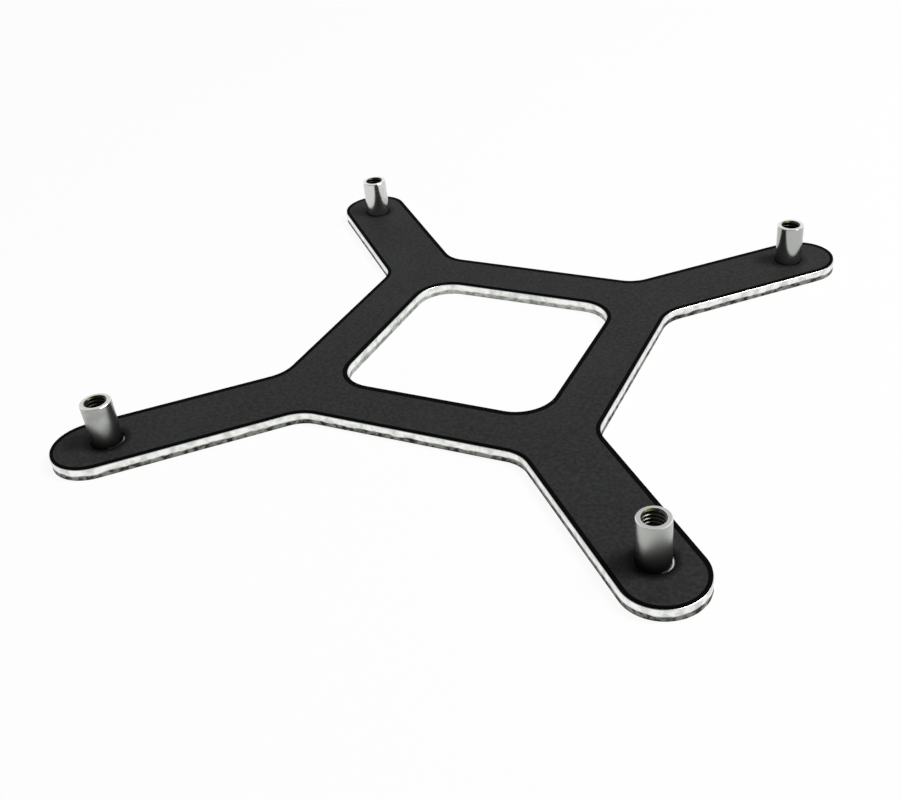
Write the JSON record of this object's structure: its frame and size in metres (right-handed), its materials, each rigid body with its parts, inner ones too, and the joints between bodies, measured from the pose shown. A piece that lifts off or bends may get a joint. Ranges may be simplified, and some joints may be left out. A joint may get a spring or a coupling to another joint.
{
  "type": "cpu backplate",
  "caption": "Flat X-shaped steel backplate with a square window, a thin black insulating sheet on top and a short threaded post near each arm's end.",
  "frame": {"origin": "centre of the plate's back face, on the surface that the plate lies on", "axes": "+Z along the posts, from the plate's back face towards the board; +X and +Y along the sides of the square on which the posts stand"},
  "size_m": [0.0852, 0.0852, 0.0077],
  "materials": {
    "plate_steel": "zinc plated, satin, with a bright sheared band and a duller broken band on the cut edge",
    "black_film": "matt black film with a fine grain",
    "post_steel": "bright plated, turned"
  },
  "bodies": {
    "root": {"steel_plate": "plate_steel", "insulating_sheet": "black_film", "threaded_post_front_left": "post_steel", "threaded_post_front_right": "post_steel", "threaded_post_back_right": "post_steel", "threaded_post_back_left": "post_steel"}
  },
  "joints": []
}
